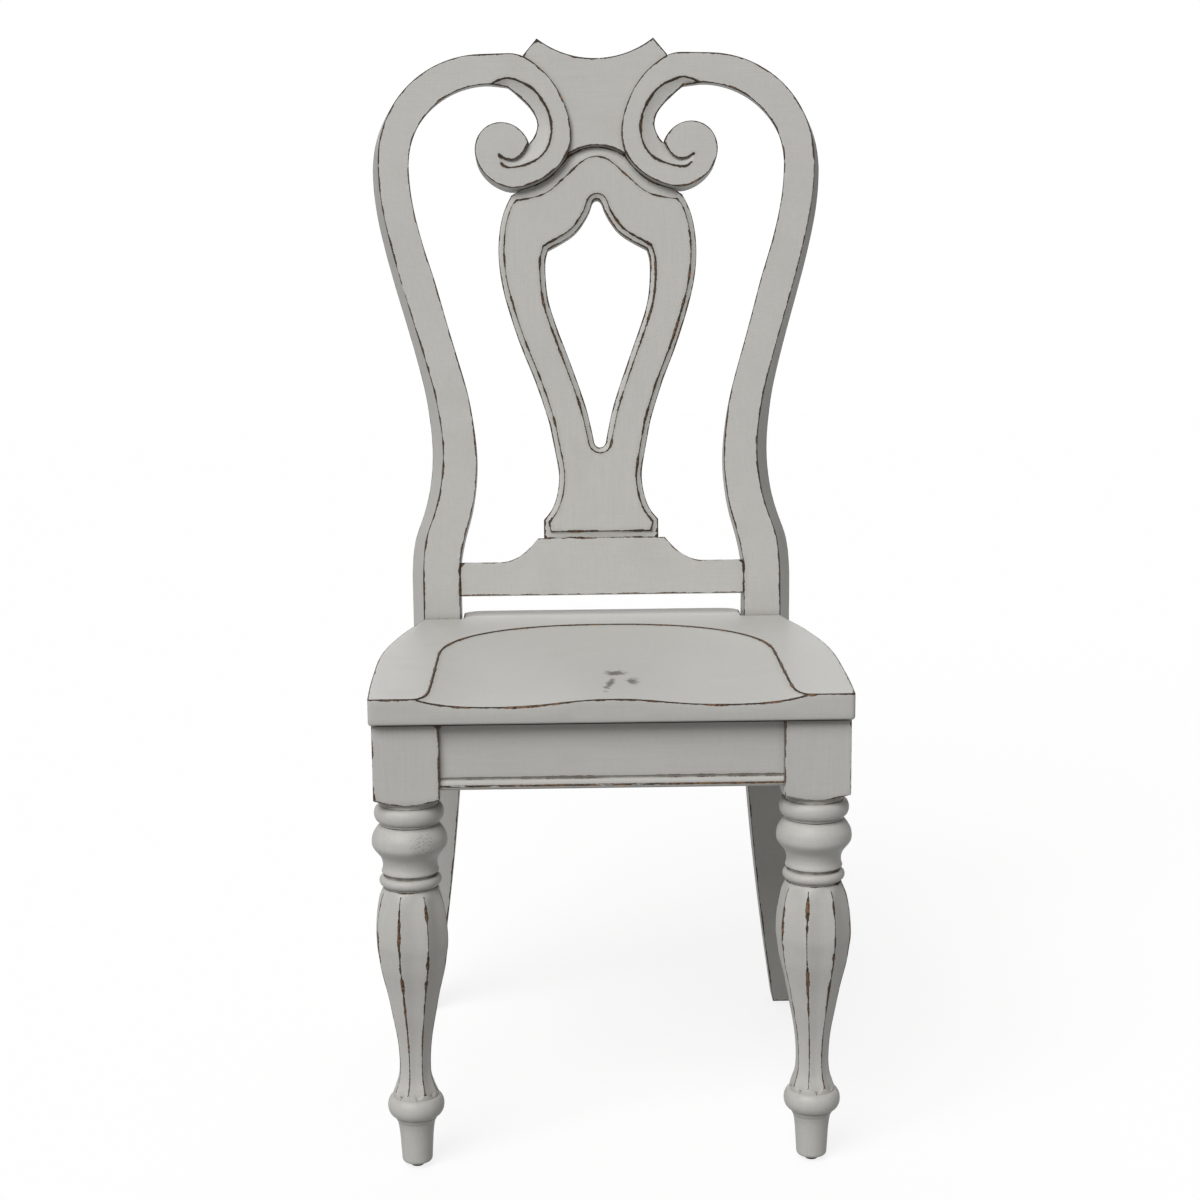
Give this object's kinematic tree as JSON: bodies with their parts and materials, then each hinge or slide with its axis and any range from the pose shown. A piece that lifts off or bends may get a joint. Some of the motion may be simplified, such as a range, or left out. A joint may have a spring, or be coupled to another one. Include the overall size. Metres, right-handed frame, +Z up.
{
  "type": "dining chair",
  "caption": "Side chair with a saddle seat, fluted turned front legs, looped back posts, carved scroll crest and a pierced splat.",
  "frame": {"origin": "on the floor, under the middle of the chair's bounding box", "axes": "+X to the viewer's right, +Z up, the seat's front edge towards -Y"},
  "size_m": [0.508, 0.5694, 1.1196],
  "materials": {
    "antique_paint": "satin antique paint, worn along the edges",
    "bare_wood": "sawn and unpainted",
    "plated_steel": "zinc plated",
    "glide": "matte"
  },
  "bodies": {
    "root": {"seat": "antique_paint", "left_front_leg": "antique_paint", "right_front_leg": "antique_paint", "left_back_post": "antique_paint", "right_back_post": "antique_paint", "crest_rail": "antique_paint", "splat": "antique_paint", "lower_back_rail": "antique_paint", "front_rail": "antique_paint", "left_side_rail": "antique_paint", "right_side_rail": "antique_paint", "rear_rail": "antique_paint", "front_left_corner_block": "bare_wood", "front_right_corner_block": "bare_wood", "rear_left_corner_block": "bare_wood", "rear_right_corner_block": "bare_wood", "hanger_bolts": "plated_steel", "bolt_washers": "plated_steel", "bolt_nuts": "plated_steel", "block_screws": "plated_steel", "seat_screws": "plated_steel", "front_rail_dowels": "bare_wood", "side_rail_dowels": "bare_wood", "rear_rail_dowels": "bare_wood", "lower_rail_dowels": "bare_wood", "crest_dowels": "bare_wood", "foot_glides": "glide"}
  },
  "joints": []
}
